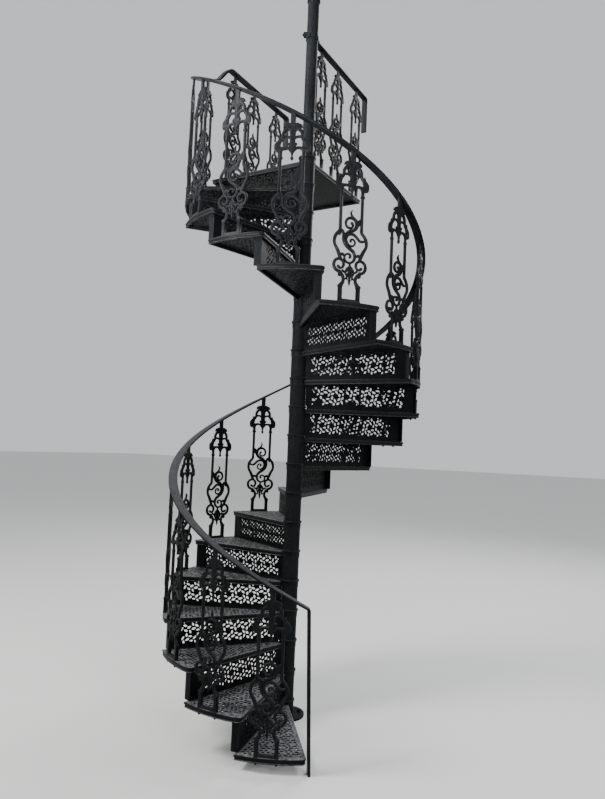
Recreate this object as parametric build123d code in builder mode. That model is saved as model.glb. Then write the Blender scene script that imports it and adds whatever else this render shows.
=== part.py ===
"""Cast-iron spiral stair with pierced treads and risers, scrolled balusters and a top landing.

Millimetres, +Z up. The origin is the middle of the pole's base plate, on its underside.
The landing runs out along +Y to a wall. The stair climbs clockwise as seen from above,
so the angle of each tread gets smaller by one step from the tread below it.
"""
from build123d import *
from math import atan2, cos, degrees, pi, radians, sin, sqrt, tan
import os

# driving sizes
riser = 190                      # rise from tread to tread
first_rise = 85                  # ground to the top of the lowest tread
tread_count = 19
steps_per_turn = 14
tread_radius = 810
landing_angle = 180              # direction of the landing's front edge

pole_radius = 40
pole_wall = 5
pole_height = 4860
column_radius = 53               # cast hub column, round the pole up to the landing
collar_radius = 61               # ring cast with each tread, where two lengths of column seem to meet
collar_height = 14
collar_rise = 20                 # top of the ring above the tread
collar_sides = 12
neck_radius = 56                 # sleeve that carries the ring up from the tread
slip = 0.3                       # on the radius, between round pieces that slide together

plate_thickness = 10
rim_depth = 30
rim_width = 14
nosing = 15                      # the tread's front edge ahead of its riser's face
back_lap = 10                    # the tread runs this far behind the riser that stands on it

riser_thickness = 8
riser_return = 45                # the riser's outer end, turned back along the rim
riser_return_inset = 24          # from the tread's outer edge to the turned-back end

rail_radius = 795
rail_width = 48
rail_thickness = 16
rail_side = 7                    # height of the rail's upright sides
rail_flat = 12                   # flat along the middle of its crowned top
rail_rise = 776                  # rail's middle above the line of the nosings
rail_pieces = 5
rail_bend = 10                   # inner radius where a rail turns down into a post
newel_gap = 5                    # from the lowest tread's front edge to the newel
newel_lean = 2.1                 # degrees; the newel's foot stands out from its head
rail_lead = 4                    # degrees before the landing where the helix ends
seat_gap = 0.15                  # between a baluster's sloping top and the rail

baluster_place = 0.56            # share of the step from its front edge to the baluster
baluster_height = 866            # foot to the underside of a level rail

landing_length = 800             # pole to wall
landing_overlap = 30             # the landing's far side beyond the pole's axis
landing_rail_x = -750
landing_post_drop = 280          # how far a landing rail's wall end turns down
landing_post_reach = 81          # from the wall's face back to the middle of a rail's end
landing_baluster_first = 130     # from the pole's axis
landing_baluster_inner = 145     # the first one on the pole's side, clear of the pole
landing_baluster_end = 78        # from the wall's face to the last one
landing_baluster_middle = 0.45   # where the middle one stands, as a share of the way

base_radius = 125
base_thickness = 14
base_bolts = 4
base_bolt_radius = 7
base_bolt_circle = 95            # radius

# derived sizes
step_angle = 360 / steps_per_turn
landing_height = first_rise + tread_count * riser
pole_bore = pole_radius + slip
collar_bore = column_radius + slip
slope = atan2(riser * steps_per_turn, 2 * pi * rail_radius)


def lead_angle(k):
    """Direction of the front edge of tread k; the landing is one past the last tread."""
    return landing_angle + (tread_count + 1 - k) * step_angle


def tread_top(k):
    return first_rise + (k - 1) * riser


def turned(angle, height):
    """A level plane whose X runs out along the given direction."""
    return Plane(origin=(0, 0, height), x_dir=(cos(radians(angle)), sin(radians(angle)), 0), z_dir=(0, 0, 1))


def finish(part, label):
    part.label = label
    export_step(part, f"parts/{label}.step")


os.makedirs("parts", exist_ok=True)

# base, pole and cap
with BuildPart() as base_plate:
    Cylinder(base_radius, base_thickness, align=(Align.CENTER, Align.CENTER, Align.MIN))
    with PolarLocations(base_bolt_circle, base_bolts, start_angle=degrees(pi / base_bolts)):
        Hole(base_bolt_radius)
finish(base_plate.part, "base_plate")

with BuildPart() as centre_pole:
    with BuildSketch(Plane.XY.offset(base_thickness)):
        Circle(pole_radius)
        Circle(pole_radius - pole_wall, mode=Mode.SUBTRACT)
    extrude(amount=pole_height - base_thickness)
finish(centre_pole.part, "centre_pole")

cap_radius = 46
cap_skirt = 24
cap_crown = 22
with BuildPart() as pole_cap:
    with BuildSketch(Plane.XY.offset(pole_height - cap_skirt)):
        Circle(cap_radius)
    extrude(amount=cap_skirt + cap_crown)
    chamfer(pole_cap.edges().group_by(Axis.Z)[-1], cap_crown * 0.7)
    with BuildSketch(Plane.XY.offset(pole_height - cap_skirt)):
        Circle(pole_bore)
    extrude(amount=cap_skirt, mode=Mode.SUBTRACT)
finish(pole_cap.part, "pole_cap")

with BuildPart() as hub_column:
    with BuildSketch(Plane.XY.offset(base_thickness)):
        Circle(column_radius)
        Circle(pole_bore, mode=Mode.SUBTRACT)
    extrude(amount=landing_height + collar_rise - base_thickness)
finish(hub_column.part, "hub_column")

# treads
hole_rows = 2
hole_first_row = 330
hole_row_pitch = 260
hole_length = 210
hole_gap = 34                    # metal left between holes of one row


def wedge(inset):
    """Outline of a tread in the calling sketch, drawn in from its edges by the inset."""
    outer = tread_radius - inset
    inner = column_radius - 5
    front = nosing - inset
    back = riser_thickness + back_lap - inset
    turn = radians(step_angle)

    def behind(radius):
        along = sqrt(radius**2 - back**2)
        return (along * cos(turn) - back * sin(turn), -along * sin(turn) - back * cos(turn))

    with BuildLine() as outline:
        corner = (sqrt(outer**2 - front**2), front)
        middle = (outer * cos(turn / 2), -outer * sin(turn / 2))
        Line((inner, front), corner)
        ThreePointArc(corner, middle, behind(outer))
        Line(behind(outer), behind(inner))
        Line(behind(inner), (inner, front))
    make_face(outline.edges())


def leaf(length, width):
    """A pointed hole drawn in the calling sketch, long way along X."""
    Polygon((-length / 2, 0), (0, -width / 2), (length / 2, 0), (0, width / 2), align=None)


def make_tread(k):
    top = turned(lead_angle(k), tread_top(k))
    with BuildPart() as tread:
        with BuildSketch(top):
            wedge(0)
        extrude(amount=-rim_depth)
        with BuildSketch(top.offset(-plate_thickness)):
            wedge(rim_width)
        extrude(amount=plate_thickness - rim_depth, mode=Mode.SUBTRACT)
        with BuildSketch(top):
            for row in range(hole_rows):
                radius = hole_first_row + row * hole_row_pitch
                arc = radians(step_angle) * radius
                holes = row + 1
                with PolarLocations(radius, holes, start_angle=-step_angle * (1 - 0.5 / holes),
                                    angular_range=step_angle):
                    leaf(hole_length, arc / holes - hole_gap)
        extrude(amount=-plate_thickness, mode=Mode.SUBTRACT)
        with BuildSketch(top.offset(-plate_thickness)):
            RegularPolygon(neck_radius, collar_sides)
        extrude(amount=plate_thickness + collar_rise)
        with BuildSketch(top.offset(collar_rise - collar_height)):
            RegularPolygon(collar_radius, collar_sides)
        extrude(amount=collar_height)
        with BuildSketch(top.offset(-rim_depth)):
            Circle(collar_bore)
        extrude(amount=rim_depth + collar_rise, mode=Mode.SUBTRACT)
    finish(tread.part, f"tread_{k:02d}")


for k in range(1, tread_count + 1):
    make_tread(k)

# risers
riser_height = riser - plate_thickness
riser_radius = tread_radius - riser_return_inset
riser_inner = collar_radius + 2
riser_plain_end = 34             # plain strip at the outer end
riser_border = 18
riser_holes = 3
riser_bar = 16


def make_risers(label, first, last):
    """Riser k stands on tread k - 1 and carries the front edge of tread k."""
    inner_radius = riser_radius - riser_thickness
    lap = riser_return / riser_radius
    corner = (riser_radius, 0)
    end = (riser_radius * cos(lap), -riser_radius * sin(lap))
    inner_end = (inner_radius * cos(lap), -inner_radius * sin(lap))
    inner_corner = (sqrt(inner_radius**2 - riser_thickness**2), -riser_thickness)
    holes_from = riser_inner + riser_border
    holes_to = riser_radius - riser_plain_end
    pitch = (holes_to - holes_from) / riser_holes
    with BuildPart() as risers:
        for k in range(first, last + 1):
            floor = turned(lead_angle(k), tread_top(k - 1))
            with BuildSketch(floor):
                with BuildLine():
                    Line((riser_inner, 0), corner)
                    RadiusArc(corner, end, riser_radius)
                    Line(end, inner_end)
                    RadiusArc(inner_end, inner_corner, -inner_radius)
                    Line(inner_corner, (riser_inner, -riser_thickness))
                    Line((riser_inner, -riser_thickness), (riser_inner, 0))
                make_face()
            extrude(amount=riser_height)
            with BuildSketch(Plane(origin=floor.origin, x_dir=floor.x_dir, z_dir=-floor.y_dir)):
                with Locations(((holes_from + holes_to) / 2, riser_height / 2)):
                    with GridLocations(pitch, 1, riser_holes, 1):
                        leaf(pitch - riser_bar, riser_height - 2 * riser_border)
            extrude(amount=riser_thickness, mode=Mode.SUBTRACT)
    finish(risers.part, label)


make_risers("risers_lower", 2, 7)
make_risers("risers_middle", 8, 13)
make_risers("risers_upper", 14, tread_count)
make_risers("landing_riser", tread_count + 1, tread_count + 1)

# baluster casting
bar = 14                         # width and thickness of the scrollwork bars
foot_width = 22
foot_half_span = 55
foot_height = 97
cross_height = 14
rod_half_span = 66
rod_foot = 400
scroll_radius = 28
scroll_height = 206
scroll_sides = 4
waist_height = 262
lobe_radius = 44
lobe_height = 344
shoulder_half_span = 92
shoulder_height = 664
crown_height = 786
crown_half_span = 46
stem_width = 30
spiral_radius = 30               # the three scrolls of the S
spiral_bar = 11
thorn_height = 530


def on_circle(centre, radius, start, sweep, sides):
    """Corners of a bar of few sides that runs round part of a circle."""
    turns = [radians(start + sweep * n / sides) for n in range(sides + 1)]
    return [(centre[0] + radius * cos(t), centre[1] + radius * sin(t)) for t in turns]


def bent_bar(points, width):
    """Draws a mitred bar along the points in the calling sketch."""
    left, right = [], []
    for n, (x, y) in enumerate(points):
        before = points[max(n - 1, 0)]
        after = points[min(n + 1, len(points) - 1)]
        a = atan2(y - before[1], x - before[0]) if n else atan2(after[1] - y, after[0] - x)
        b = atan2(after[1] - y, after[0] - x) if n < len(points) - 1 else a
        half_turn = ((b - a + pi) % (2 * pi) - pi) / 2
        side = a + half_turn + pi / 2
        reach = width / 2 / cos(half_turn)
        left.append((x + reach * cos(side), y + reach * sin(side)))
        right.append((x - reach * cos(side), y - reach * sin(side)))
    Polygon(*left, *reversed(right), align=None)


side_frame = [
    (foot_half_span - bar / 4, foot_height - bar),
    (foot_half_span - 1.3 * bar, foot_height + 2 * bar),
    *on_circle((rod_half_span, scroll_height), scroll_radius, -145, 285, scroll_sides),
    *on_circle((rod_half_span - bar, lobe_height), lobe_radius, -60, 110, 3),
    (rod_half_span, rod_foot),
    (rod_half_span, shoulder_height - 2 * bar),
    (shoulder_half_span, shoulder_height),
    (shoulder_half_span - 1.5 * bar, shoulder_height + 3.5 * bar),
    (0, crown_height - bar),
]
middle_scroll = [
    (rod_half_span + 2 * bar, lobe_height + bar),
    *on_circle((0, lobe_height + spiral_radius / 2), spiral_radius - bar / 2, 20, 200, 3),
]
lower_scroll = [
    (-rod_half_span, rod_foot),
    (-spiral_radius, lobe_height),
    *on_circle((-bar / 4, waist_height), spiral_radius, 50, -220, 3),
]
upper_scroll = [
    (-spiral_radius, lobe_height + spiral_radius),
    *on_circle((0, lobe_height + 3.5 * spiral_radius), spiral_radius + bar / 4, -120, 240, 3),
]

with BuildPart() as baluster:
    with BuildSketch(Plane.XZ):
        bent_bar(side_frame, bar)
        bent_bar([(foot_half_span - bar, waist_height - 5.5 * bar), (0, waist_height - 6.5 * bar)], bar / 2)
        mirror(about=Plane.YZ)
        bent_bar(middle_scroll, spiral_bar)
        bent_bar(lower_scroll, spiral_bar)
        bent_bar(upper_scroll, spiral_bar)
        Polygon((-bar / 2, lobe_height + 4.3 * spiral_radius), (bar / 2, lobe_height + 4.3 * spiral_radius),
                (0, thorn_height), align=None)
        Polygon((0, foot_height), (bar, foot_height + 3 * bar), (0, waist_height - 3 * bar),
                (-bar, foot_height + 3 * bar), align=None)
        Polygon((0, shoulder_height - 5 * bar), (stem_width / 2, shoulder_height - bar),
                (bar / 2, crown_height - 3 * bar), (crown_half_span, crown_height + bar / 2),
                (stem_width / 2, crown_height + 2 * bar), (-stem_width / 2, crown_height + 2 * bar),
                (-crown_half_span, crown_height + bar / 2), (-bar / 2, crown_height - 3 * bar),
                (-stem_width / 2, shoulder_height - bar), align=None)
    extrude(amount=bar / 2, both=True)
    with BuildSketch(Plane.XZ):
        with Locations((foot_half_span, foot_height / 2), (-foot_half_span, foot_height / 2)):
            Rectangle(foot_width, foot_height)
        with Locations((0, cross_height / 2)):
            Rectangle(2 * foot_half_span, cross_height)
    extrude(amount=foot_width / 2, both=True)
    with BuildSketch(Plane.XY.offset(crown_height)):
        Rectangle(stem_width, bar)
    extrude(amount=baluster_height + rail_thickness - crown_height)

# the same casting, cut off square for a level rail or aslant for the climbing one
with BuildPart() as level_baluster:
    add(baluster.part)
    split(bisect_by=Plane.XY.offset(baluster_height), keep=Keep.BOTTOM)

stair_baluster_height = (
    rail_rise + riser * baluster_place - (rail_thickness / 2 + seat_gap) / cos(slope)
)
with BuildPart() as stair_baluster:
    add(baluster.part)
    split(
        bisect_by=Plane(origin=(0, 0, stair_baluster_height), x_dir=(cos(slope), 0, -sin(slope)),
                        z_dir=(sin(slope), 0, cos(slope))),
        keep=Keep.BOTTOM,
    )


def baluster_place_on(k):
    """Where the casting of tread k stands: X runs round the rim, down the stair."""
    angle = radians(lead_angle(k) - step_angle * baluster_place)
    return Location(Plane(
        origin=(rail_radius * cos(angle), rail_radius * sin(angle), tread_top(k)),
        x_dir=(-sin(angle), cos(angle), 0), z_dir=(0, 0, 1)))


def make_balusters(label, first, last):
    with BuildPart() as row:
        with Locations(*[baluster_place_on(k) for k in range(first, last + 1)]):
            add(stair_baluster.part)
    finish(row.part, label)


make_balusters("balusters_foot", 1, 5)
make_balusters("balusters_lower", 6, 10)
make_balusters("balusters_middle", 11, 15)
make_balusters("balusters_upper", 16, tread_count)

landing_baluster_last = landing_length - landing_baluster_end
with BuildPart() as landing_balusters:
    for x, nearest in ((landing_rail_x, landing_baluster_first), (0, landing_baluster_inner)):
        for share in (0, landing_baluster_middle, 1):
            place = (x, nearest + share * (landing_baluster_last - nearest), landing_height)
            with Locations(Location(place, (0, 0, 90))):
                add(level_baluster.part)
finish(landing_balusters.part, "landing_balusters")


# handrail
def rail_outline():
    """Flat bar with a crowned top, drawn in the calling sketch."""
    side = rail_width / 2
    top = rail_thickness / 2
    Polygon((-side, -top), (side, -top), (side, rail_side - top), (rail_flat / 2, top),
            (-rail_flat / 2, top), (-side, rail_side - top), align=None)


bend = rail_bend + rail_thickness / 2
lean = radians(newel_lean)
bend_reach = bend * (cos(lean) - sin(slope))     # level distance that the newel's bend takes up
bend_drop = bend * (cos(slope) - sin(lean))
newel_ahead = nosing + newel_gap + rail_thickness / 2 / cos(lean)
rail_ahead = (newel_ahead - bend_reach - tan(lean) * (rail_rise - bend_drop)) / (1 - tan(lean) * tan(slope))
rail_start = lead_angle(1) + degrees(rail_ahead / rail_radius)
rail_end = landing_angle + rail_lead
rail_turn = (rail_start - rail_end) / rail_pieces


def rail_height(angle):
    """Middle of the climbing rail above the ground."""
    return first_rise + rail_rise + riser * (lead_angle(1) - angle) / step_angle


def rail_point(angle):
    return (rail_radius * cos(radians(angle)), rail_radius * sin(radians(angle)), rail_height(angle))


def rail_plane(angle):
    """Square across the climbing rail, X outwards and Y upwards."""
    a = radians(angle)
    return Plane(origin=rail_point(angle), x_dir=(cos(a), sin(a), 0),
                 z_dir=(sin(a) * cos(slope), -cos(a) * cos(slope), sin(slope)))


with BuildPart() as rail_piece:
    with BuildLine() as climb:
        Helix(pitch=riser * steps_per_turn, height=riser * rail_turn / step_angle, radius=rail_radius,
              lefthand=True)
    with BuildSketch(Plane(origin=(rail_radius, 0, 0), x_dir=(1, 0, 0),
                           z_dir=(0, -cos(slope), sin(slope)))):
        rail_outline()
    sweep(path=climb.line, is_frenet=True)

for n in range(rail_pieces):
    start = rail_start - n * rail_turn
    placed = rail_piece.part.moved(Location((0, 0, rail_height(start)), (0, 0, start)))
    finish(placed, f"handrail_{n + 1}")

with BuildPart() as newel_post:
    a = radians(rail_start)
    side_view = Plane(origin=rail_point(rail_start), x_dir=(-sin(a), cos(a), 0), z_dir=(cos(a), sin(a), 0))
    run = rail_height(rail_start)
    with BuildLine(side_view) as drop:
        turn = JernArc(start=(0, 0), tangent=(cos(slope), -sin(slope)), radius=bend,
                       arc_size=degrees(slope) - 90 + newel_lean)
        Line((bend_reach, -bend_drop), (bend_reach + run * sin(lean), -bend_drop - run * cos(lean)))
    with BuildSketch(Plane(origin=rail_point(rail_start), x_dir=(-cos(a), -sin(a), 0),
                           z_dir=(-sin(a) * cos(slope), cos(a) * cos(slope), -sin(slope)))):
        rail_outline()
    sweep(path=drop.line)
    split(bisect_by=Plane.XY, keep=Keep.TOP)
finish(newel_post.part, "newel_post")

# landing rails
landing_rail_height = landing_height + baluster_height + rail_thickness / 2
landing_rail_start = landing_baluster_first - foot_half_span
clamp_pad = 16
clamp_wall = 5
clamp_height = 24


def make_landing_rail(label, x, start):
    end = landing_length + landing_post_reach
    with BuildPart() as rail:
        with BuildLine(Plane.YZ.offset(x)) as run:
            level = Line((start, landing_rail_height), (end - bend, landing_rail_height))
            turn = JernArc(start=level @ 1, tangent=(1, 0), radius=bend, arc_size=-90)
            Line((end, landing_rail_height - bend), (end, landing_rail_height - landing_post_drop))
        with BuildSketch(Plane(origin=(x, start, landing_rail_height), x_dir=(-1, 0, 0), z_dir=(0, 1, 0))):
            rail_outline()
        sweep(path=run.line)
    finish(rail.part, label)


make_landing_rail("landing_rail_left", landing_rail_x, landing_rail_start)
make_landing_rail("landing_rail_right", 0, pole_radius + clamp_pad)

with BuildPart() as rail_ramp:
    with BuildSketch(rail_plane(rail_end)):
        rail_outline()
    with BuildSketch(Plane(origin=(landing_rail_x, landing_rail_start, landing_rail_height),
                           x_dir=(-1, 0, 0), z_dir=(0, 1, 0))):
        rail_outline()
    loft(ruled=True)
finish(rail_ramp.part, "rail_ramp")

with BuildPart() as rail_clamp:
    with BuildSketch(Plane.XY.offset(landing_rail_height - clamp_height / 2)):
        Circle(pole_bore + clamp_wall)
        with Locations((0, (pole_radius + clamp_pad) / 2)):
            Rectangle(rail_width, pole_radius + clamp_pad)
        with Locations((0, -(pole_radius + clamp_pad) / 2)):
            Rectangle(clamp_pad, pole_radius + clamp_pad)
        Circle(pole_bore, mode=Mode.SUBTRACT)
    extrude(amount=clamp_height)
finish(rail_clamp.part, "rail_clamp")

# landing
landing_left = -tread_radius
bearer_width = 12

with BuildPart() as landing_deck:
    width = landing_overlap - landing_left
    middle = (landing_left + landing_overlap) / 2
    length = landing_length + nosing
    deck_top = Plane(origin=(middle, landing_length / 2 - nosing / 2, landing_height))
    with BuildSketch(deck_top):
        Rectangle(width, length)
    extrude(amount=-rim_depth)
    with BuildSketch(deck_top.offset(-plate_thickness)):
        Rectangle(width - 2 * rim_width, length - 2 * rim_width)
    extrude(amount=plate_thickness - rim_depth, mode=Mode.SUBTRACT)
    with BuildSketch(Plane.XY.offset(landing_height - rim_depth)):
        RegularPolygon(neck_radius, collar_sides)
    extrude(amount=rim_depth + collar_rise)
    with BuildSketch(Plane.XY.offset(landing_height + collar_rise - collar_height)):
        RegularPolygon(collar_radius, collar_sides)
    extrude(amount=collar_height)
    with BuildSketch(Plane.XY.offset(landing_height - rim_depth)):
        Circle(collar_bore)
    extrude(amount=rim_depth + collar_rise, mode=Mode.SUBTRACT)
finish(landing_deck.part, "landing_deck")

# the bearers lie under the plate, within the rim
with BuildPart() as landing_bearers:
    bearer_depth = rim_depth - plate_thickness
    bearer_top = Plane.XY.offset(landing_height - plate_thickness)
    reach_from = neck_radius + slip
    reach_to = landing_length - rim_width - slip
    side_from = landing_left + rim_width + slip
    side_to = landing_overlap - rim_width - slip
    with BuildSketch(bearer_top):
        with Locations(((side_from + side_to) / 2, (reach_from + reach_to) / 2)):
            Rectangle(side_to - side_from, reach_to - reach_from)
            with GridLocations((side_to - side_from - bearer_width) / 2, 1, 2, 1):
                Rectangle((side_to - side_from - 3 * bearer_width) / 2, reach_to - reach_from - 2 * bearer_width,
                          mode=Mode.SUBTRACT)
    extrude(amount=-bearer_depth)
finish(landing_bearers.part, "landing_bearers")
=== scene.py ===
"""Looks of the cast-iron spiral stair: pierced treads and risers, scrolled balusters, moulded rail.

Sizes are in millimetres and become metres where a mesh is made. The frame is the CAD model's:
Z up, the origin under the middle of the base plate, the stair climbing clockwise seen from above.
"""
from math import asin, atan2, cos, degrees, hypot, pi, radians, sin, sqrt, tan

import bmesh
import bpy
from mathutils import Matrix, Vector
from mathutils.geometry import interpolate_bezier


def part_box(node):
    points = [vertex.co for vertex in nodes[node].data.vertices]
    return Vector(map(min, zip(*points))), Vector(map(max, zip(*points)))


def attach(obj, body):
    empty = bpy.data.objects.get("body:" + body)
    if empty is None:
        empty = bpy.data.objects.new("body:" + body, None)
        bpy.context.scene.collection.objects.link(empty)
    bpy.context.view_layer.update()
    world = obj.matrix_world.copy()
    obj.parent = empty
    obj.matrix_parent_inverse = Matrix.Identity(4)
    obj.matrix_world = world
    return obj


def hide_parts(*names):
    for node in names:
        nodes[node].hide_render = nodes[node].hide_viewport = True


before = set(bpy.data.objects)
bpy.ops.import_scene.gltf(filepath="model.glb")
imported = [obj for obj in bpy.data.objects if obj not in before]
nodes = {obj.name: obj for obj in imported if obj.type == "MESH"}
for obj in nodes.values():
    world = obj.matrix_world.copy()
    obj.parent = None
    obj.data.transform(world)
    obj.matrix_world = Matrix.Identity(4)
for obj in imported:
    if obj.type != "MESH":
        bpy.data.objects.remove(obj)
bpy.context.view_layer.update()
MM = 0.001


def low(node):
    """Lowest corner of a CAD node in millimetres."""
    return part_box(node)[0] / MM


def high(node):
    """Highest corner of a CAD node in millimetres."""
    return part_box(node)[1] / MM


# sizes shared with the CAD model
steps_per_turn = 14
step_angle = 360 / steps_per_turn
landing_angle = 180              # direction of the landing's front edge
tread_count = len([name for name in nodes if name.startswith("tread_")])
collar_rise = 20                 # top of a collar's ring above its tread
collar_height = 14
riser = high("tread_02").z - high("tread_01").z
first_top = high("tread_01").z - collar_rise
landing_top = high("landing_deck").z - collar_rise
landing_left = low("landing_deck").x
landing_right = 30
landing_length = high("landing_deck").y
tread_radius = 810
nosing = 15                      # the front edge ahead of the riser's face
landing_front = -nosing
tread_back = 18                  # the back edge behind the face of the riser on it
rim_depth = 30
rim_width = 14
collar_radius = 61
neck_radius = 56                 # sleeve below a collar's ring
column_radius = 53
pole_radius = 40
rail_radius = 795
rail_width = 48
rail_thickness = 16
rail_rise = 776                  # rail's middle above the line of the nosings
rail_bend = 18                   # radius at the bar's middle
slope = atan2(riser * steps_per_turn, 2 * pi * rail_radius)
newel_gap = 5                    # from the lowest tread's front edge
newel_lean = radians(2.1)        # the foot stands out from the head
rail_end = landing_angle + 4     # where the climbing rail meets the ramp
rail_pieces = len([name for name in nodes if name.startswith("handrail_")])
landing_rail_height = high("landing_rail_left").z - rail_thickness / 2
baluster_place = 0.56            # share of a tread's angle behind its front edge
baluster_height = 866
foot_spread = 55                 # of a baluster's feet from its middle


def lead_angle(k):
    """Direction in degrees of the front edge of tread k."""
    return landing_angle + (tread_count + 1 - k) * step_angle


def tread_top(k):
    return first_top + (k - 1) * riser


def placed(angle, height, radius=0):
    """Matrix to a spot at a radius and height, X running out along the direction."""
    return Matrix.Rotation(radians(angle), 4, "Z") @ Matrix.Translation((radius, 0, height))


# shapes: corners and faces gathered in millimetres before they become a mesh
class Shape:
    def __init__(self):
        self.points = []
        self.faces = []

    def rings(self, loops, closed=False):
        """Joins loops of equal length by quads, and closes both ends unless the loops run round."""
        first = len(self.points)
        size = len(loops[0])
        for loop in loops:
            self.points.extend(Vector(point) for point in loop)
        for n in range(len(loops) if closed else len(loops) - 1):
            here = first + n * size
            there = first + (n + 1) % len(loops) * size
            for j in range(size):
                after = (j + 1) % size
                self.faces.append((here + j, here + after, there + after, there + j))
        if not closed:
            self.faces.append(tuple(first + j for j in reversed(range(size))))
            self.faces.append(tuple(first + (len(loops) - 1) * size + j for j in range(size)))

    def add(self, other, matrix=None):
        first = len(self.points)
        if matrix:
            self.points.extend(matrix @ point for point in other.points)
        else:
            self.points.extend(other.points)
        self.faces.extend(tuple(first + corner for corner in face) for face in other.faces)


def circle(radius, height, sides=48):
    turns = [2 * pi * n / sides for n in range(sides)]
    return [(radius * cos(t), radius * sin(t), height) for t in turns]


def rectangle(width, depth, height, corner=0):
    """A level loop of eight corners with its corners cut by the given size."""
    x, y, c = width / 2, depth / 2, corner
    return [(x, c - y, height), (x, y - c, height), (x - c, y, height), (c - x, y, height),
            (-x, y - c, height), (-x, c - y, height), (c - x, -y, height), (x - c, -y, height)]


def taper(values, share):
    """Value at a share of the way along evenly spaced values."""
    place = share * (len(values) - 1)
    n = min(int(place), len(values) - 2)
    return values[n] + (values[n + 1] - values[n]) * (place - n)


def smooth(points, steps=4):
    """A rounded path through points given as (x, z) in the casting's plane."""
    knots = [Vector((x, 0, z)) for x, z in points]
    path = [knots[0]]
    for before, start, end, after in zip(knots[:1] + knots, knots, knots[1:], knots[2:] + knots[-1:]):
        leaving, arriving = start + (end - before) / 6, end - (after - start) / 6
        curve = interpolate_bezier(start, leaving, arriving, end, steps + 1)
        path.extend(curve[1:])
    return path


def volute(centre, radius, start, sweep, grip=0.3, stretch=1.0, step=24):
    """A curl that tightens towards its middle, as a path in the casting's plane."""
    count = int(abs(sweep) / step)
    path = []
    for n in range(count + 1):
        share = n / count
        reach = radius * (1 - (1 - grip) * share ** 2.2)
        turn = radians(start + sweep * share)
        path.append(Vector((centre[0] + reach * cos(turn), 0, centre[1] + reach * stretch * sin(turn))))
    return path


def stroke(shape, path, widths, depth, sides=8):
    """A rounded bar along a path in the casting's plane, its width changing along the way."""
    last = len(path) - 1
    loops = []
    for n, point in enumerate(path):
        ahead = (path[min(n + 1, last)] - path[max(n - 1, 0)]).normalized()
        across = Vector((-ahead.z, 0, ahead.x))
        half = taper(widths, n / last) / 2
        deep = min(depth / 2, half * 1.2 + 1.5)
        turns = [2 * pi * (j + 0.5) / sides for j in range(sides)]
        loops.append([point + across * half * cos(t) + Vector((0, deep * sin(t), 0)) for t in turns])
    shape.rings(loops)


def both_sides(shape, path, widths, depth, sides=8):
    stroke(shape, path, widths, depth, sides)
    stroke(shape, [Vector((-p.x, p.y, p.z)) for p in path], widths, depth, sides)


def bolt(shape, matrix, across, height):
    """A hexagon head on a washer, standing up along the matrix's Z."""
    head = Shape()
    head.rings([circle(across * 0.72, 0, 16), circle(across * 0.72, 1.6, 16), circle(across * 0.6, 1.8, 16)])
    turned_out = across / sqrt(3)
    head.rings([circle(turned_out, 1.5, 6), circle(turned_out, 1.5 + height * 0.8, 6),
                circle(turned_out * 0.86, 1.5 + height, 6)])
    shape.add(head, matrix)


# materials
def material(name):
    made = bpy.data.materials.new(name)
    made.use_nodes = True
    tree = made.node_tree
    return made, tree, tree.nodes["Principled BSDF"]


def node(tree, kind, inputs=None, **settings):
    made = tree.nodes.new(kind)
    for key, value in settings.items():
        setattr(made, key, value)
    for key, value in (inputs or {}).items():
        if isinstance(value, bpy.types.NodeSocket):
            tree.links.new(value, made.inputs[key])
        else:
            made.inputs[key].default_value = value
    return made


def noise(tree, scale, detail=4, roughness=0.55):
    place = node(tree, "ShaderNodeTexCoord")
    return node(tree, "ShaderNodeTexNoise", {"Vector": place.outputs["Object"], "Scale": scale,
                                             "Detail": detail, "Roughness": roughness})


def between(tree, value, low_in, high_in, low_out=0.0, high_out=1.0):
    spread = node(tree, "ShaderNodeMapRange", {"Value": value, "From Min": low_in, "From Max": high_in,
                                               "To Min": low_out, "To Max": high_out}, clamp=True)
    return spread.outputs["Result"]


def product(tree, first, second):
    return node(tree, "ShaderNodeMath", {0: first, 1: second}, operation="MULTIPLY").outputs["Value"]


def mixed(tree, share, first, second):
    blend = node(tree, "ShaderNodeMix", {"Factor": share}, data_type="RGBA")
    for socket, value in ((blend.inputs[6], first), (blend.inputs[7], second)):
        if isinstance(value, bpy.types.NodeSocket):
            tree.links.new(value, socket)
        else:
            socket.default_value = (*value, 1)
    return blend.outputs[2]


# lighter grey for sharp edges: partly paint worn through, partly a painted highlight where edges catch light
worn_and_edge_highlight = (0.035, 0.037, 0.04)
rust = (0.075, 0.032, 0.016)
dust_and_sheen_clear = collar_radius * MM           # distances from the axis between which the dust and the painted sheen set in
dust_and_sheen_full = dust_and_sheen_clear + 0.03


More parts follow.
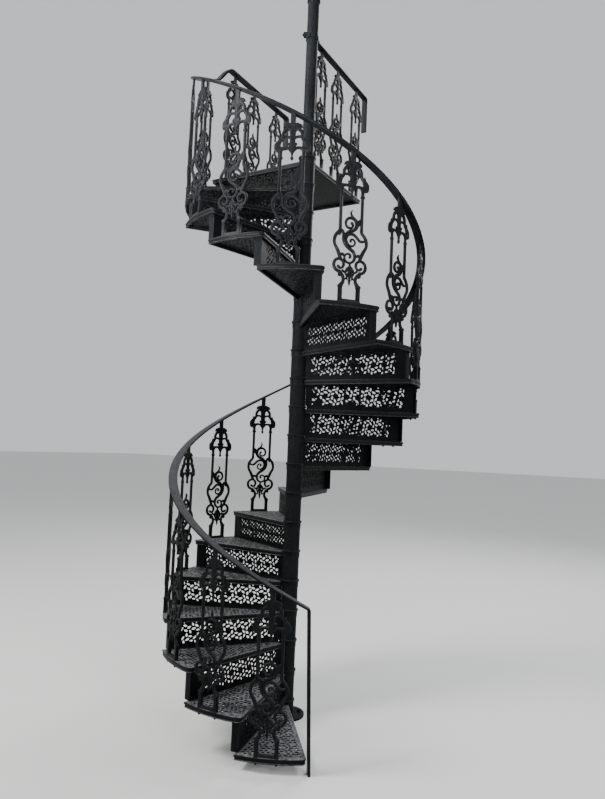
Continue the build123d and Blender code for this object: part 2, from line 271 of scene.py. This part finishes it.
def black_iron(name, paint, dust_and_top_sheen, dust_and_sheen_share, rust_share, shine, grain=0.25, gloss=(0.38, 0.58),
               least_dust_and_sheen=0.35):
    """Black paint over cast iron: patchy gloss, dust and a painted sheen of sun and sky on what faces up,
    thin rust in spots.

    The collars round the column, which nobody treads on, have next to no dust and no painted sheen.
    """
    made, tree, shader = material(name)
    patches = noise(tree, 9, 5).outputs["Fac"]
    fine = noise(tree, 240, 3).outputs["Fac"]
    spots = noise(tree, 60, 6, 0.7).outputs["Fac"]
    shape_node = node(tree, "ShaderNodeNewGeometry")
    facing = node(tree, "ShaderNodeSeparateXYZ", {"Vector": shape_node.outputs["Normal"]}).outputs["Z"]
    light_paint = tuple(min(1, c * 1.9 + 0.002) for c in paint)
    coat = mixed(tree, between(tree, patches, 0.35, 0.7), paint, light_paint)
    # Sharp edges turn lighter grey: partly worn paint, partly a painted highlight of the edges catching
    # light.
    edge_wear_and_highlight = between(tree, shape_node.outputs["Pointiness"], 0.53, 0.62, 0, 0.35)
    coat = mixed(tree, product(tree, edge_wear_and_highlight, between(tree, fine, 0.4, 0.65)), coat, worn_and_edge_highlight)
    place = node(tree, "ShaderNodeTexCoord").outputs["Object"]
    level = node(tree, "ShaderNodeVectorMath", {0: place, 1: (1, 1, 0)}, operation="MULTIPLY")
    from_axis = node(tree, "ShaderNodeVectorMath", {0: level.outputs["Vector"]}, operation="LENGTH")
    # What faces up turns pale: partly dust, partly a painted sheen of sun and sky on the tops.
    dust_and_sheen_mask = product(tree, between(tree, facing, 0.25, 0.95, 0, dust_and_sheen_share),
                      between(tree, spots, 0.38, 0.6, least_dust_and_sheen, 1))
    dust_and_sheen_mask = product(tree, dust_and_sheen_mask, between(tree, from_axis.outputs["Value"], dust_and_sheen_clear, dust_and_sheen_full, 0.1, 1))
    coat = mixed(tree, dust_and_sheen_mask, coat, dust_and_top_sheen)
    rusty = product(tree, between(tree, spots, 0.62, 0.74, 0, rust_share), between(tree, patches, 0.48, 0.6))
    coat = mixed(tree, rusty, coat, rust)
    tree.links.new(coat, shader.inputs["Base Color"])
    tree.links.new(between(tree, spots, 0.3, 0.7, *gloss), shader.inputs["Roughness"])
    bump = node(tree, "ShaderNodeBump", {"Height": noise(tree, 420, 5, 0.6).outputs["Fac"],
                                         "Strength": grain, "Distance": 0.0012})
    tree.links.new(bump.outputs["Normal"], shader.inputs["Normal"])
    shader.inputs["Specular IOR Level"].default_value = shine
    return made


column_iron = black_iron("column_paint", (0.0012, 0.0017, 0.0019), (0.03, 0.032, 0.035), 0.15, 0.2,
                         shine=0.03)
# The pale grey on the tread tops is dust and a painted sunlit sheen.
tread_iron = black_iron("tread_paint", (0.0016, 0.002, 0.0022), (0.23, 0.235, 0.25), 0.72, 0.25, shine=0.08,
                        grain=0.35, least_dust_and_sheen=0.1)
riser_iron = black_iron("riser_paint", (0.0015, 0.002, 0.0022), (0.04, 0.042, 0.045), 0.3, 0.25, shine=0.04)
baluster_iron = black_iron("baluster_paint", (0.002, 0.0024, 0.0027), (0.05, 0.052, 0.055), 0.3, 0.2,
                           shine=0.07)
# The rail's pale top is dust and a painted sheen of sky and sun.
rail_steel = black_iron("rail_paint", (0.002, 0.0025, 0.003), (0.085, 0.089, 0.1), 0.7, 0.08, shine=0.035,
                        grain=0.08, gloss=(0.28, 0.42), least_dust_and_sheen=0.6)


def paint_node(name, coat):
    for slot in nodes[name].material_slots:
        slot.material = coat


def piece(name, shape, coat, slot_name, *stands_for):
    """Turns a shape into a named object in metres that rides on the stair."""
    mesh = bpy.data.meshes.new(name)
    mesh.from_pydata([point * MM for point in shape.points], [], shape.faces)
    work = bmesh.new()
    work.from_mesh(mesh)
    bmesh.ops.recalc_face_normals(work, faces=work.faces)
    work.to_mesh(mesh)
    work.free()
    mesh.shade_smooth()
    mesh.set_sharp_from_angle(angle=radians(38))
    mesh.materials.append(coat)
    made = bpy.data.objects.new(name, mesh)
    bpy.context.scene.collection.objects.link(made)
    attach(made, "root")
    if stands_for:
        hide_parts(*stands_for)


# pierced plates
lattice_pitch = 73               # from rosette to rosette
row_pitch = 0.866 * lattice_pitch
row_shift = 0.42                 # of the first row's middle, in rows
leaf_profile = [(-1.0, 0.0), (-0.5, 0.68), (0.15, 1.0), (0.75, 0.62), (1.0, 0.0), (0.5, -0.7), (-0.1, -0.82),
                (-0.65, -0.4)]
rosette_leaves = 6
leaf_reach = lattice_pitch / sqrt(7)     # so that the leaves of all rosettes are evenly spaced
leaf_lead = radians(19.1)
leaf_twist = radians(58)
turn_waver = 0.42                # uneven turns in radians, and places and sizes as shares
reach_waver = 0.05
size_waver = 0.12
least_leaf = 0.18                # a cut leaf smaller than this share of its length by its width is left out


def clipped(loop, normal, limit):
    """The part of a loop up to a line, given by its normal and its distance from the origin."""
    kept = []
    beyond = [x * normal[0] + y * normal[1] - limit for x, y in loop]
    for n, here in enumerate(loop):
        before = loop[n - 1]
        if (beyond[n] > 0) != (beyond[n - 1] > 0):
            share = beyond[n - 1] / (beyond[n - 1] - beyond[n])
            kept.append(tuple(b + (h - b) * share for b, h in zip(before, here)))
        if beyond[n] <= 0:
            kept.append(here)
    return kept


def area(loop):
    return abs(sum(loop[n - 1][0] * y - x * loop[n - 1][1] for n, (x, y) in enumerate(loop))) / 2


def leaf_lattice(low_corner, high_corner, lines, length, width):
    """Holes of rosettes set in rows that are half a pitch apart, cut off at the given lines."""
    columns = range(int(low_corner[0] / lattice_pitch) - 2, int(high_corner[0] / lattice_pitch) + 3)
    rows = range(int(low_corner[1] / row_pitch) - 2, int(high_corner[1] / row_pitch) + 3)
    holes = []
    for column in columns:
        for row in rows:
            x = (column + 0.5 * (row % 2)) * lattice_pitch
            y = (row + row_shift) * row_pitch
            for n in range(rosette_leaves):
                wave = sin(2.1 * column + 1.3 * row + 2.6 * n)
                direction = leaf_lead + 2 * pi * n / rosette_leaves
                turn = direction + leaf_twist + turn_waver * wave
                reach = leaf_reach * (1 + reach_waver * sin(3.7 * column + 1.9 * n))
                long = length * (1 + size_waver * sin(5.1 * row + 2.3 * n)) / 2
                wide = width * (1 + size_waver * wave) / 2
                loop = [(x + reach * cos(direction) + long * u * cos(turn) - wide * v * sin(turn),
                         y + reach * sin(direction) + long * u * sin(turn) + wide * v * cos(turn))
                        for u, v in leaf_profile]
                for normal, limit in lines:
                    loop = clipped(loop, normal, limit)
                if area(loop) > least_leaf * length * width:
                    holes.append(loop)
    return holes


def box_lines(low_corner, high_corner):
    return [((-1, 0), -low_corner[0]), ((0, -1), -low_corner[1]),
            ((1, 0), high_corner[0]), ((0, 1), high_corner[1])]


def pierced(outline, holes, thickness, chamfer):
    """A flat plate with holes and chamfered edges, centred on Z = 0."""
    curve = bpy.data.curves.new("outline", "CURVE")
    curve.dimensions = "2D"
    curve.fill_mode = "BOTH"
    curve.extrude = thickness / 2 - chamfer
    curve.bevel_depth = chamfer
    curve.bevel_resolution = 0
    curve.offset = -chamfer
    for loop in [outline, *holes]:
        spline = curve.splines.new("POLY")
        spline.points.add(len(loop) - 1)
        for point, (x, y) in zip(spline.points, loop):
            point.co = (x, y, 0, 1)
        spline.use_cyclic_u = True
    holder = bpy.data.objects.new("outline", curve)
    mesh = bpy.data.meshes.new_from_object(holder)
    plate = Shape()
    plate.points = [vertex.co.copy() for vertex in mesh.vertices]
    plate.faces = [tuple(face.vertices) for face in mesh.polygons]
    bpy.data.objects.remove(holder)
    bpy.data.curves.remove(curve)
    bpy.data.meshes.remove(mesh)
    return plate


# treads
tread_inner = 58
tread_corner = 30                # rounding of the front outer corner
lattice_margin = 24
lattice_start = 92
lattice_thickness = 8
lattice_drop = 1                 # of the pierced plate below the rim's top
tread_leaf = (26, 15.5)          # length and width of the holes in what is walked on
rim_profile = [(3.5, 0), (1, -1), (0, -3.5), (0, -11), (3, -14), (4, -18), (4, -25), (2, -27),
               (2, -rim_depth), (rim_width, -rim_depth), (rim_width, -1), (rim_width - 2, 0)]


def wedge(inset, height=None, arc_points=7, corner_points=5):
    """Outline of a tread drawn in from its edges, its front edge along X."""
    outer = tread_radius - inset
    front = nosing - inset
    back = tread_back - inset
    turn = radians(step_angle)

    def on_back(radius):
        along = sqrt(radius ** 2 - back ** 2)
        return along * cos(turn) - back * sin(turn), -along * sin(turn) - back * cos(turn)

    rounding = tread_corner - inset
    corner_x = sqrt((outer - rounding) ** 2 - (front - rounding) ** 2)
    start = atan2(front - rounding, corner_x)
    end = -turn - asin(back / outer)
    loop = [(tread_inner, front)]
    for n in range(corner_points):
        a = pi / 2 + (start - pi / 2) * n / corner_points
        loop.append((corner_x + rounding * cos(a), front - rounding + rounding * sin(a)))
    for n in range(arc_points + 1):
        a = start + (end - start) * n / arc_points
        loop.append((outer * cos(a), outer * sin(a)))
    loop.append(on_back(tread_inner))
    if height is None:
        return loop
    return [(x, y, height) for x, y in loop]


def collar_profile():
    """Section of the sleeve and ring round the column, as (radius, height above the tread)."""
    ring = collar_rise - collar_height
    bore = column_radius + 0.5
    return [(bore, collar_rise), (collar_radius - 3, collar_rise), (collar_radius, collar_rise - 3),
            (collar_radius, ring + 3), (collar_radius - 3, ring), (neck_radius, ring - 1.5),
            (neck_radius, -10), (neck_radius - 1, -rim_depth), (bore, -rim_depth)]


def make_tread():
    shape = Shape()
    turn = radians(step_angle)
    lines = [((0, 1), nosing - lattice_margin), ((-sin(turn), -cos(turn)), tread_back - lattice_margin)]
    field = leaf_lattice((0, -tread_radius * sin(turn)), (tread_radius, 0), lines, *tread_leaf)
    holes = [hole for hole in field if lattice_start < min(hypot(x, y) for x, y in hole)
             and max(hypot(x, y) for x, y in hole) < tread_radius - lattice_margin]
    shape.add(pierced(wedge(rim_width / 2), holes, lattice_thickness, 0.9),
              Matrix.Translation((0, 0, -lattice_drop - lattice_thickness / 2)))
    shape.rings([wedge(inset, height) for inset, height in rim_profile], closed=True)
    shape.rings([circle(radius, height) for radius, height in collar_profile()], closed=True)
    return shape


tread = make_tread()
for k in range(1, tread_count + 1):
    shape = Shape()
    shape.add(tread, placed(lead_angle(k), tread_top(k)))
    piece(f"pierced_tread_{k:02d}", shape, tread_iron, "tread_iron", f"tread_{k:02d}")

# risers
riser_thickness = 8
riser_inner = 63
riser_neck = column_radius + 1   # where the riser meets the column above the collar
riser_height = 180
riser_radius = 786
riser_return = 45                # length turned back round the outer end
riser_bevel = 1.5
riser_plain = 80                 # plain strips at the outer end and at the column
riser_plain_inner = 34
riser_border = 31                # below the lattice
riser_border_above = 8
riser_leaf = (28, 14.5)
bead_width = 5                   # of the beads along the lower and upper edges
bead_inset = 4


def make_riser():
    """One riser, its front face on Y = 0, standing on Z = 0."""
    shape = Shape()
    low_corner = (riser_inner + riser_plain_inner, riser_border)
    high_corner = (riser_radius - riser_plain, riser_height - riser_border_above)
    holes = leaf_lattice(low_corner, high_corner, box_lines(low_corner, high_corner), *riser_leaf)
    end = riser_radius - 3
    outline = [(riser_inner, 0), (end, 0), (end, riser_height), (riser_neck, riser_height),
               (riser_neck, collar_rise + 2), (riser_inner, collar_rise + 2)]
    plate = pierced(outline, holes, riser_thickness, 1)
    upright = Matrix.Translation((0, -riser_thickness / 2, 0)) @ Matrix.Rotation(pi / 2, 4, "X")
    shape.add(plate, upright @ Matrix.Scale(-1, 4, (0, 0, 1)))
    back, top, bevel = riser_thickness, riser_height, riser_bevel
    section = [(0, bevel), (-bevel, 0), (bevel - back, 0), (-back, bevel),
               (-back, top - bevel), (bevel - back, top), (-bevel, top), (0, top - bevel)]
    loops = []
    turns = 5
    for n in range(turns + 1):
        a = -riser_return / riser_radius * n / turns
        loops.append([((riser_radius + r) * cos(a), (riser_radius + r) * sin(a), z) for r, z in section])
    shape.rings(loops)
    for height in (bead_inset, riser_height - bead_inset):
        path = [Vector((riser_inner, 0, height)), Vector((riser_radius - 2, 0, height))]
        stroke(shape, path, (bead_width, bead_width), bead_width, 6)
    return shape


riser_panel = make_riser()
riser_nodes = {"risers_lower": (2, 7), "risers_middle": (8, 13), "risers_upper": (14, tread_count),
               "landing_riser": (tread_count + 1, tread_count + 1)}
for name, (first, last) in riser_nodes.items():
    shape = Shape()
    for k in range(first, last + 1):
        shape.add(riser_panel, placed(lead_angle(k), tread_top(k - 1)))
    piece(f"pierced_{name}", shape, riser_iron, "riser_iron", name)

# baluster casting, drawn as (x, z) from the middle of its foot; +x is the side down the stair
fullness = 1.8                   # widths below are those of the bare pattern
crown_top = 786                  # where the crown's outer arms come together


def make_baluster():
    shape = Shape()

    def bar(points, widths, depth=19):
        stroke(shape, smooth(points), [fullness * width for width in widths], depth)

    def pair(points, widths, depth=19):
        bar(points, widths, depth)
        bar([(-x, z) for x, z in points], widths, depth)

    for side in (-1, 1):
        foot = Shape()
        foot.rings([rectangle(24, 24, 0, 1), rectangle(24, 24, 5, 1), rectangle(21, 21, 8, 1.5),
                    rectangle(21, 21, 80, 1.5), rectangle(27, 25, 84, 2), rectangle(27, 25, 90, 2),
                    rectangle(19, 19, 97, 3)])
        shape.add(foot, Matrix.Translation((side * foot_spread, 0, 0)))
    cross = Shape()
    cross.rings([rectangle(92, 20, 0, 1), rectangle(92, 20, 12, 1), rectangle(90, 18, 14, 1)])
    shape.add(cross)

    pair([(52, 93), (41, 108), (37, 126), (42, 146), (54, 160), (66, 168)], (14, 11, 11, 12))
    pair([(50, 152), (60, 150), (70, 154)], (10, 13, 5))
    curl = volute((63, 207), 36, -100, 430, 0.24, 1.08)
    both_sides(shape, curl, [fullness * width for width in (11, 11, 10, 10, 8, 11)], 19)
    pair([(46, 180), (34, 170), (20, 172), (6, 186)], (9, 7, 7, 8), 16)
    pair([(38, 138), (28, 130), (18, 136), (10, 150)], (8, 6, 6, 5), 16)
    pair([(2, 204), (15, 190), (25, 168), (22, 148)], (5, 8, 8, 2), 16)
    pair([(2, 172), (13, 158), (17, 138), (11, 122)], (4, 6, 6, 2), 16)
    bar([(0, 222), (0, 190), (0, 150), (0, 114), (0, 92)], (6, 9, 8, 8, 2), 16)

    pair([(58, 240), (66, 262), (79, 292), (96, 322), (99, 346), (94, 368), (82, 388), (68, 404), (66, 420)],
         (11, 13, 10, 12, 11, 11))
    pair([(66, 262), (48, 269), (28, 258)], (10, 11, 6), 16)
    bar([(-64, 412), (-66, 396), (-76, 381)], (12, 12, 15))
    bar([(96, 366), (78, 356), (58, 356), (40, 372), (20, 388), (-2, 389), (-20, 378), (-27, 356),
         (-19, 333), (-1, 321), (19, 325), (28, 342), (20, 358), (6, 361), (-1, 352), (6, 345)],
        (8, 9, 10, 9, 8, 6, 6, 8))
    bar([(-66, 406), (-51, 402), (-43, 384), (-42, 356), (-32, 330), (-8, 308), (18, 290), (29, 264),
         (22, 238), (0, 223), (-24, 229), (-35, 250), (-26, 270), (-6, 274), (3, 261), (-5, 253)],
        (9, 11, 13, 12, 10, 8, 7, 7, 9))
    bar([(-36, 378), (-14, 402), (14, 412), (32, 430), (35, 454), (24, 476), (0, 484), (-24, 474), (-33, 450),
         (-24, 430), (-4, 424), (10, 434), (9, 450), (-1, 454)], (8, 12, 13, 12, 10, 8, 8, 8, 10))
    bar([(32, 432), (44, 450), (52, 470), (62, 488)], (8, 14, 12, 3), 17)
    bar([(26, 470), (12, 488), (1, 502), (-2, 516), (7, 530)], (9, 8, 7, 6, 2), 16)

    pair([(66, 412), (66, 480), (66, 560), (66, 610)], (10.5, 10.5, 10.5))
    pair([(66, 602), (66, 612), (66, 622)], (11, 18, 11), 20)
    pair([(66, 618), (66, 636), (68, 652)], (11, 12, 17), 16)
    pair([(52, 664), (74, 662), (90, 657), (99, 664)], (13, 20, 16, 6), 16)
    pair([(92, 660), (85, 684), (74, 708), (75, 732)], (15, 23, 15, 3), 15)
    pair([(78, 700), (64, 714), (55, 732), (53, 756), (40, 776), (22, crown_top)], (8, 11, 11, 12, 12))
    pair([(55, 730), (38, 736), (20, 732), (6, 722)], (9, 9, 9, 9), 17)
    pair([(62, 664), (42, 670), (24, 668), (10, 656), (0, 640)], (12, 10, 9, 10, 8))
    pair([(4, 680), (16, 690), (28, 694)], (9, 14, 3))
    pair([(2, 668), (12, 676), (20, 672)], (8, 11, 3))
    bar([(0, 597), (0, 608), (0, 622), (0, 640), (0, 668), (0, 700), (0, 740), (0, 780)],
        (3, 12, 5, 10, 16, 20, 20, 26), 17)
    pair([(6, 772), (26, 792), (42, 798), (54, 788)], (16, 20, 14, 4), 17)
    pair([(8, 784), (20, 804), (34, 813)], (14, 16, 3), 17)
    return shape


def make_stem(top, tilt):
    """The flat stem from the casting's crown up into the rail, its end cut to the rail's slope."""
    shape = Shape()
    foot = rectangle(36, 15, crown_top - 10, 3)
    waist = rectangle(30, 14, crown_top + 14, 2)
    end = [(x, y, top + x * tilt) for x, y, z in rectangle(30, 14, top, 2)]
    shape.rings([foot, waist, end])
    return shape


casting = make_baluster()
stair_stem_top = rail_rise + riser * baluster_place - 3      # both stems end inside the rail
level_stem_top = baluster_height + 3
stair_baluster = Shape()
stair_baluster.add(casting)
stair_baluster.add(make_stem(stair_stem_top, -tan(slope)))
level_baluster = Shape()
level_baluster.add(casting)
level_baluster.add(make_stem(level_stem_top, 0))

baluster_nodes = {"balusters_foot": (1, 5), "balusters_lower": (6, 10), "balusters_middle": (11, 15),
                  "balusters_upper": (16, tread_count)}
for name, (first, last) in baluster_nodes.items():
    shape = Shape()
    for k in range(first, last + 1):
        place = placed(lead_angle(k) - step_angle * baluster_place, tread_top(k), rail_radius)
        shape.add(stair_baluster, place @ Matrix.Rotation(pi / 2, 4, "Z"))
    piece(f"scrolled_{name}", shape, baluster_iron, "baluster_iron", name)

landing_rail_x = -750
landing_baluster_first = {landing_rail_x: 130, 0: 145}      # nearest the axis, on each of the two rails
landing_baluster_last = landing_length - 78
landing_baluster_shares = (0, 0.45, 1)                      # of the way from the nearest to the last
shape = Shape()
for x, nearest in landing_baluster_first.items():
    for share in landing_baluster_shares:
        y = nearest + (landing_baluster_last - nearest) * share
        shape.add(level_baluster, Matrix.Translation((x, y, landing_top)) @ Matrix.Rotation(pi / 2, 4, "Z"))
piece("scrolled_landing_balusters", shape, baluster_iron, "baluster_iron", "landing_balusters")


# handrail
def rail_section(lip=8):
    """Flat bar with a crowned top, as (across, up), wider by a lip on the side of the walkway."""
    half, top = rail_width / 2, rail_thickness / 2
    right = [(half - 3, -top), (half, 3 - top), (half, 1), (half - 2, 4), (half - 7, 6.4), (half - 14, 7.6),
             (half - 20, top)]
    return right + [(-x - lip, y) for x, y in reversed(right)]


def rail_height(angle):
    return first_top + rail_rise + riser * (lead_angle(1) - angle) / step_angle


def on_helix(angle):
    """Station of the climbing rail: (middle, outward, upward)."""
    a = radians(angle)
    return (Vector((rail_radius * cos(a), rail_radius * sin(a), rail_height(angle))),
            Vector((cos(a), sin(a), 0)),
            Vector((-sin(a) * sin(slope), cos(a) * sin(slope), cos(slope))))


def rail_along(name, stations, stands_for, section=rail_section()):
    shape = Shape()
    shape.rings([[middle + out * x + up * y for x, y in section] for middle, out, up in stations])
    piece(name, shape, rail_steel, "rail_steel", stands_for)


bend_reach = rail_bend * (cos(newel_lean) - sin(slope))
bend_drop = rail_bend * (cos(slope) - sin(newel_lean))
newel_ahead = nosing + newel_gap + rail_thickness / 2 / cos(newel_lean)
lean_ahead = tan(newel_lean) * (rail_rise - bend_drop)
rail_ahead = (newel_ahead - bend_reach - lean_ahead) / (1 - tan(newel_lean) * tan(slope))
rail_start = lead_angle(1) + degrees(rail_ahead / rail_radius)
rail_turn = (rail_start - rail_end) / rail_pieces
rail_steps = 22
for n in range(rail_pieces):
    start = rail_start - n * rail_turn
    stations = [on_helix(start - rail_turn * step / rail_steps) for step in range(rail_steps + 1)]
    rail_along(f"moulded_rail_{n + 1}", stations, f"handrail_{n + 1}")


def newel_stations(bends=8):
    """Round the bend at the climbing rail's lower end and down to the newel's foot."""
    middle, out = on_helix(rail_start)[:2]
    level = Vector((-out.y, out.x, 0))
    high_up = Vector((0, 0, 1))
    stations = []
    centre = middle - (level * sin(slope) + high_up * cos(slope)) * rail_bend
    for n in range(bends + 1):
        turn = pi / 2 - slope + (newel_lean - pi / 2 + slope) * n / bends
        face = level * cos(turn) + high_up * sin(turn)
        stations.append((centre + face * rail_bend, out, face))
    head = stations[-1][0]
    foot = head + level * head.z * tan(newel_lean)
    foot.z = 0
    stations.append((foot, out, level))
    return stations


rail_along("moulded_newel", newel_stations(), "newel_post")


def landing_rail_stations(x, start, end, drop, bends=8):
    """Level along Y past the landing's far edge, then round and down by the drop."""
    out = Vector((-1, 0, 0))
    height = landing_rail_height
    stations = [(Vector((x, start, height)), out, Vector((0, 0, 1)))]
    for n in range(bends + 1):
        turn = pi / 2 * (1 - n / bends)
        face = Vector((0, cos(turn), sin(turn)))
        stations.append((Vector((x, end - rail_bend, height - rail_bend)) + face * rail_bend, out, face))
    stations.append((Vector((x, end, height - drop)), out, Vector((0, 1, 0))))
    return stations


landing_rail_start = low("landing_rail_left").y
landing_rail_end = high("landing_rail_left").y - rail_thickness / 2
landing_rail_drop = landing_rail_height - low("landing_rail_left").z
left_stations = landing_rail_stations(landing_rail_x, landing_rail_start, landing_rail_end, landing_rail_drop)
rail_along("moulded_landing_rail_left", left_stations, "landing_rail_left")
right_stations = landing_rail_stations(0, low("landing_rail_right").y, landing_rail_end, landing_rail_drop)
rail_along("moulded_landing_rail_right", right_stations, "landing_rail_right", rail_section(0))


def ramp_stations(steps=10):
    """Eases the climbing rail into the level one."""
    first, first_out, first_up = on_helix(rail_end)
    last = Vector((landing_rail_x, landing_rail_start, landing_rail_height))
    last_out, last_up = Vector((-1, 0, 0)), Vector((0, 0, 1))
    reach = (last - first).length * 0.35
    ahead = first_up.cross(first_out).normalized()
    if ahead.z < 0:
        ahead = -ahead
    path = interpolate_bezier(first, first + ahead * reach, last - Vector((0, 1, 0)) * reach, last, steps + 1)
    stations = []
    for n, middle in enumerate(path):
        along = (path[min(n + 1, steps)] - path[max(n - 1, 0)]).normalized()
        out = first_out.lerp(last_out, n / steps).normalized()
        up = along.cross(out).normalized()
        if up.z < 0:
            up = -up
        if n == 0:
            out, up = first_out, first_up
        if n == steps:
            out, up = last_out, last_up
        stations.append((middle, out, up))
    return stations


rail_along("moulded_rail_ramp", ramp_stations(), "rail_ramp")

# landing deck
deck_lattice = (4, 4)            # thickness, and depth of its middle below the landing's top
deck_plate = (6, 7)


def deck_outline(inset, height=None, arc_points=9):
    """Outline of the deck drawn in from its edges, with the collar's bite out of the near corner."""
    left, right = landing_left + inset, landing_right - inset
    front, back = landing_front + inset, landing_length - inset
    bite = tread_inner
    start = pi - asin(front / bite)
    end = pi / 2 - asin(right / bite)
    loop = [(left, back), (left, front)]
    for n in range(arc_points + 1):
        a = start + (end - start) * n / arc_points
        loop.append((bite * cos(a), bite * sin(a)))
    loop.append((right, back))
    if height is None:
        return loop
    return [(x, y, height) for x, y in loop]


def make_deck():
    shape = Shape()
    low_corner = (landing_left + lattice_margin, landing_front + lattice_margin)
    high_corner = (landing_right - lattice_margin, landing_length - lattice_margin)
    field = leaf_lattice(low_corner, high_corner, box_lines(low_corner, high_corner), *tread_leaf)
    holes = [hole for hole in field if min(hypot(x, y) for x, y in hole) > collar_radius + 12]
    for (thickness, depth), openings, chamfer in ((deck_lattice, holes, 1), (deck_plate, [], 1.2)):
        shape.add(pierced(deck_outline(rim_width / 2), openings, thickness, chamfer),
                  Matrix.Translation((0, 0, landing_top - depth)))
    shape.rings([deck_outline(inset, landing_top + height) for inset, height in rim_profile], closed=True)
    shape.rings([circle(radius, landing_top + height) for radius, height in collar_profile()], closed=True)
    return shape


piece("pierced_landing_deck", make_deck(), tread_iron, "tread_iron", "landing_deck")


# small hardware
anchor_radius = 95
foot_bolt_inset = 9              # from the tread's outer edge
clamp_place = 50                 # of the right rail's clamp from the axis


def make_hardware():
    """Anchor bolts, the bolts under the balusters' feet and those of the rail's clamp."""
    shape = Shape()
    for n in range(4):
        bolt(shape, placed(45 + 90 * n, high("base_plate").z, anchor_radius), 20, 12)
    for k in range(1, tread_count + 1):
        for side in (-1, 1):
            around = lead_angle(k) - step_angle * baluster_place + side * degrees(foot_spread / rail_radius)
            under = placed(around, tread_top(k) - rim_depth, tread_radius - foot_bolt_inset)
            bolt(shape, under @ Matrix.Rotation(pi, 4, "X"), 12, 6)
    for side in (-1, 1):
        grip = Matrix.Translation((side * rail_width / 2, clamp_place, landing_rail_height))
        bolt(shape, grip @ Matrix.Rotation(side * pi / 2, 4, "Y"), 10, 4)
    return shape


piece("stair_bolts", make_hardware(), column_iron, "column_iron")

lug_height = 4600
lug_direction = 205
lug = Shape()
lug.rings([rectangle(22, 30, -14, 3), rectangle(26, 34, -10, 4),
           rectangle(26, 34, 10, 4), rectangle(22, 30, 14, 3)])
lug_side = placed(lug_direction, lug_height, pole_radius + 10)
shape = Shape()
shape.add(lug, lug_side)
bolt(shape, lug_side @ Matrix.Translation((13, 0, 0)) @ Matrix.Rotation(pi / 2, 4, "Y"), 14, 6)
piece("pole_lug", shape, column_iron, "column_iron")

for name in ("base_plate", "centre_pole", "hub_column", "pole_cap", "rail_clamp"):
    paint_node(name, column_iron)
paint_node("landing_bearers", tread_iron)

# camera at the photograph's place
camera_place = Vector((2.241, -3.800, 1.732))
camera_yaw = radians(30.0918)
camera_pitch = radians(4.1062)
camera_roll = radians(2.3379)
image_height = 799
focal_pixels = 659.90
ahead = Vector((-sin(camera_yaw) * cos(camera_pitch), cos(camera_yaw) * cos(camera_pitch), sin(camera_pitch)))
level_right = Vector((cos(camera_yaw), sin(camera_yaw), 0))
level_up = level_right.cross(ahead)
camera_right = level_right * cos(camera_roll) + level_up * sin(camera_roll)
camera_up = level_up * cos(camera_roll) - level_right * sin(camera_roll)
camera_data = bpy.data.cameras.new("camera")
camera_data.sensor_width = 36
camera_data.sensor_fit = "AUTO"
camera_data.lens = camera_data.sensor_width * focal_pixels / image_height
camera_data.clip_end = 200
camera = bpy.data.objects.new("camera", camera_data)
camera_turn = Matrix((camera_right, camera_up, -ahead)).transposed()
camera.matrix_world = Matrix.Translation(camera_place) @ camera_turn.to_4x4()
bpy.context.scene.collection.objects.link(camera)
bpy.context.scene.camera = camera

# floor and light
floor_mesh = bpy.data.meshes.new("floor")
floor_mesh.from_pydata([(-60, -60, 0), (60, -60, 0), (60, 60, 0), (-60, 60, 0)], [], [(0, 1, 2, 3)])
floor = bpy.data.objects.new("floor", floor_mesh)
floor_coat, _, floor_shader = material("pale_floor")
floor_shader.inputs["Base Color"].default_value = (0.66, 0.66, 0.65, 1)
floor_shader.inputs["Roughness"].default_value = 0.9
floor_mesh.materials.append(floor_coat)
bpy.context.scene.collection.objects.link(floor)


def area_light(name, place, target, size, power, tint=(1, 1, 1), spread=180):
    light = bpy.data.lights.new(name, "AREA")
    light.shape = "DISK"
    light.size = size
    light.energy = power
    light.color = tint
    light.spread = radians(spread)
    holder = bpy.data.objects.new(name, light)
    holder.location = place
    aim = Vector(target) - Vector(place)
    holder.rotation_euler = aim.to_track_quat("-Z", "Y").to_euler()
    bpy.context.scene.collection.objects.link(holder)


area_light("key", (-3.4, -4.4, 6.6), (0, 0, 3.6), 2.6, 640, (1, 0.98, 0.95))
area_light("fill", (6.0, -3.0, 4.0), (0, 0, 2.0), 5.0, 260, (0.95, 0.97, 1))
area_light("back", (1.0, 6.5, 7.0), (0, 0, 2.5), 4.0, 450)
area_light("front", (-0.6, -5.6, 0.9), (-0.2, 0, 4.3), 2.0, 115, (0.94, 0.97, 1), 36)
world = bpy.data.worlds.new("studio")
world.use_nodes = True
world.node_tree.nodes["Background"].inputs["Color"].default_value = (0.80, 0.82, 0.84, 1)
world.node_tree.nodes["Background"].inputs["Strength"].default_value = 0.9
bpy.context.scene.world = world
